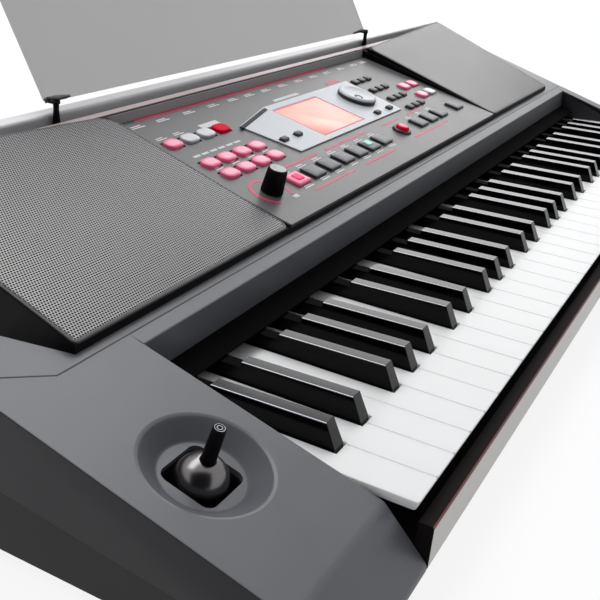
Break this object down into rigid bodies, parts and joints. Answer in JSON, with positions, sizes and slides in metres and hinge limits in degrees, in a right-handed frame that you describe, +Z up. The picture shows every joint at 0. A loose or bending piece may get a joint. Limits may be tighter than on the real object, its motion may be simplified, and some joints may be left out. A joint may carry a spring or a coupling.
{
  "type": "arranger keyboard",
  "caption": "Portable arranger keyboard: sloping case with full-size keys, raised speaker grilles, control panel with display, joystick in a dish and a removable music stand.",
  "frame": {"origin": "middle of the case's footprint, at the level of the feet's undersides", "axes": "+X to the player's right along the keys, +Y away from the player, +Z up"},
  "size_m": [0.956, 0.4416, 0.3073],
  "materials": {
    "case_top": "fine grain, satin",
    "case_lower": "fine grain, dull",
    "slip": "satin",
    "felt": "felt",
    "trim": "satin",
    "panel": "satin",
    "bezel": "metallic paint",
    "display": "lit orange behind clear plastic",
    "grille": "perforated, satin",
    "basket": "black paint",
    "cone": "paper-like",
    "key_white": "gloss",
    "key_black": "gloss",
    "frame_plastic": "plain",
    "board": "solder mask",
    "contact": "silicone",
    "rubber": "matt",
    "screw": "zinc",
    "socket": "plain",
    "stick": "satin",
    "knob": "satin",
    "stand": "smoky, translucent",
    "button_pink": "translucent, lit",
    "button_mixed": "translucent, lit",
    "button_green": "translucent, lit",
    "button_grey": "satin",
    "button_dark": "satin"
  },
  "bodies": {
    "case": {"left_cheek": "case_top", "right_cheek": "case_top", "rear_deck": "case_top", "key_bar": "case_top", "joystick_dish": "case_top", "lower_case": "case_lower", "key_slip": "slip", "dust_felt": "felt", "panel_frame": "trim", "grille_housing_left": "trim", "grille_housing_right": "trim", "control_panel": "panel", "display_bezel": "bezel", "display_glass": "display", "grille_left": "grille", "grille_right": "grille", "speaker_basket_left": "basket", "speaker_basket_right": "basket", "speaker_cone_left": "cone", "speaker_cone_right": "cone", "keybed_frame": "frame_plastic", "joystick_base": "frame_plastic", "contact_board": "board", "main_board": "board", "jack_board": "board", "panel_board": "board", "contact_rubber": "contact", "feet": "rubber", "case_screws": "screw", "audio_jacks": "socket", "dc_inlet": "socket"},
    "keys_c": {"keys_c": "key_white"},
    "keys_d": {"keys_d": "key_white"},
    "keys_e": {"keys_e": "key_white"},
    "keys_f": {"keys_f": "key_white"},
    "keys_g": {"keys_g": "key_white"},
    "keys_a": {"keys_a": "key_white"},
    "keys_b": {"keys_b": "key_white"},
    "keys_c_sharp": {"keys_c_sharp": "key_black"},
    "keys_d_sharp": {"keys_d_sharp": "key_black"},
    "keys_f_sharp": {"keys_f_sharp": "key_black"},
    "keys_g_sharp": {"keys_g_sharp": "key_black"},
    "keys_a_sharp": {"keys_a_sharp": "key_black"},
    "pad_buttons": {"pad_buttons": "button_pink"},
    "corner_buttons": {"corner_buttons": "button_mixed"},
    "row_buttons": {"row_buttons": "button_green"},
    "side_buttons": {"side_buttons": "button_grey"},
    "keypad_buttons": {"keypad_buttons": "button_dark"},
    "patch_buttons": {"patch_buttons": "button_pink"},
    "menu_buttons": {"menu_buttons": "button_grey"},
    "start_button": {"start_button": "button_dark"},
    "volume_knob": {"volume_knob": "knob"},
    "data_dial": {"data_dial": "knob"},
    "joystick_cross": {"joystick_cross": "frame_plastic"},
    "joystick_stick": {"joystick_stick": "stick"},
    "music_stand": {"music_stand": "stand"},
    "power_button": {"power_button": "knob"}
  },
  "joints": [
    {"name": "press_c", "type": "hinge", "parent": "case", "child": "keys_c", "pos_m": [0, 0.032, 0.034], "axis": [1, 0, 0], "range_deg": [0, 2.9], "stiffness_Nm_per_rad": 8, "springref_deg": -6.88},
    {"name": "press_d", "type": "hinge", "parent": "case", "child": "keys_d", "pos_m": [0, 0.032, 0.034], "axis": [1, 0, 0], "range_deg": [0, 2.9], "stiffness_Nm_per_rad": 8, "springref_deg": -6.88},
    {"name": "press_e", "type": "hinge", "parent": "case", "child": "keys_e", "pos_m": [0, 0.032, 0.034], "axis": [1, 0, 0], "range_deg": [0, 2.9], "stiffness_Nm_per_rad": 8, "springref_deg": -6.88},
    {"name": "press_f", "type": "hinge", "parent": "case", "child": "keys_f", "pos_m": [0, 0.032, 0.034], "axis": [1, 0, 0], "range_deg": [0, 2.9], "stiffness_Nm_per_rad": 8, "springref_deg": -6.88},
    {"name": "press_g", "type": "hinge", "parent": "case", "child": "keys_g", "pos_m": [0, 0.032, 0.034], "axis": [1, 0, 0], "range_deg": [0, 2.9], "stiffness_Nm_per_rad": 8, "springref_deg": -6.88},
    {"name": "press_a", "type": "hinge", "parent": "case", "child": "keys_a", "pos_m": [0, 0.032, 0.034], "axis": [1, 0, 0], "range_deg": [0, 2.9], "stiffness_Nm_per_rad": 8, "springref_deg": -6.88},
    {"name": "press_b", "type": "hinge", "parent": "case", "child": "keys_b", "pos_m": [0, 0.032, 0.034], "axis": [1, 0, 0], "range_deg": [0, 2.9], "stiffness_Nm_per_rad": 8, "springref_deg": -6.88},
    {"name": "press_c_sharp", "type": "hinge", "parent": "case", "child": "keys_c_sharp", "pos_m": [0, 0.032, 0.034], "axis": [1, 0, 0], "range_deg": [0, 2.9], "stiffness_Nm_per_rad": 6, "springref_deg": -6.88},
    {"name": "press_d_sharp", "type": "hinge", "parent": "case", "child": "keys_d_sharp", "pos_m": [0, 0.032, 0.034], "axis": [1, 0, 0], "range_deg": [0, 2.9], "stiffness_Nm_per_rad": 6, "springref_deg": -6.88},
    {"name": "press_f_sharp", "type": "hinge", "parent": "case", "child": "keys_f_sharp", "pos_m": [0, 0.032, 0.034], "axis": [1, 0, 0], "range_deg": [0, 2.9], "stiffness_Nm_per_rad": 6, "springref_deg": -6.88},
    {"name": "press_g_sharp", "type": "hinge", "parent": "case", "child": "keys_g_sharp", "pos_m": [0, 0.032, 0.034], "axis": [1, 0, 0], "range_deg": [0, 2.9], "stiffness_Nm_per_rad": 6, "springref_deg": -6.88},
    {"name": "press_a_sharp", "type": "hinge", "parent": "case", "child": "keys_a_sharp", "pos_m": [0, 0.032, 0.034], "axis": [1, 0, 0], "range_deg": [0, 2.9], "stiffness_Nm_per_rad": 6, "springref_deg": -6.88},
    {"name": "press_pad_buttons", "type": "slide", "parent": "case", "child": "pad_buttons", "axis": [0, 0.2147, -0.9767], "range_m": [0, 0.0018], "stiffness_N_per_m": 300, "springref_m": -0.003},
    {"name": "press_corner_buttons", "type": "slide", "parent": "case", "child": "corner_buttons", "axis": [0, 0.2147, -0.9767], "range_m": [0, 0.0018], "stiffness_N_per_m": 300, "springref_m": -0.003},
    {"name": "press_row_buttons", "type": "slide", "parent": "case", "child": "row_buttons", "axis": [0, 0.2147, -0.9767], "range_m": [0, 0.0018], "stiffness_N_per_m": 300, "springref_m": -0.003},
    {"name": "press_side_buttons", "type": "slide", "parent": "case", "child": "side_buttons", "axis": [0, 0.2147, -0.9767], "range_m": [0, 0.0018], "stiffness_N_per_m": 300, "springref_m": -0.003},
    {"name": "press_keypad_buttons", "type": "slide", "parent": "case", "child": "keypad_buttons", "axis": [0, 0.2147, -0.9767], "range_m": [0, 0.0018], "stiffness_N_per_m": 300, "springref_m": -0.003},
    {"name": "press_patch_buttons", "type": "slide", "parent": "case", "child": "patch_buttons", "axis": [0, 0.2147, -0.9767], "range_m": [0, 0.0018], "stiffness_N_per_m": 300, "springref_m": -0.003},
    {"name": "press_menu_buttons", "type": "slide", "parent": "case", "child": "menu_buttons", "axis": [0, 0.2147, -0.9767], "range_m": [0, 0.0018], "stiffness_N_per_m": 300, "springref_m": -0.003},
    {"name": "press_start_button", "type": "slide", "parent": "case", "child": "start_button", "axis": [0, 0.2147, -0.9767], "range_m": [0, 0.0018], "stiffness_N_per_m": 300, "springref_m": -0.003},
    {"name": "press_power_button", "type": "slide", "parent": "case", "child": "power_button", "axis": [0, -1, 0], "range_m": [0, 0.002], "stiffness_N_per_m": 300, "springref_m": -0.003},
    {"name": "turn_volume_knob", "type": "hinge", "parent": "case", "child": "volume_knob", "pos_m": [-0.1855, 0.02831, 0.09527], "axis": [0, -0.2147, 0.9767], "range_deg": [-150, 150]},
    {"name": "turn_data_dial", "type": "hinge", "parent": "case", "child": "data_dial", "pos_m": [0.07391, 0.08827, 0.10846], "axis": [0, -0.2147, 0.9767], "continuous": true},
    {"name": "tilt_joystick_side", "type": "hinge", "parent": "case", "child": "joystick_cross", "pos_m": [-0.434, -0.0832, 0.0496], "axis": [0, 0.9647, 0.2634], "range_deg": [-15, 15], "stiffness_Nm_per_rad": 0.1},
    {"name": "tilt_joystick_forward", "type": "hinge", "parent": "joystick_cross", "child": "joystick_stick", "pos_m": [-0.434, -0.0832, 0.0496], "axis": [1, 0, 0], "range_deg": [-15, 15], "stiffness_Nm_per_rad": 0.1},
    {"name": "lift_music_stand", "type": "slide", "parent": "case", "child": "music_stand", "axis": [0, 0, 1], "range_m": [0, 0.03]}
  ]
}
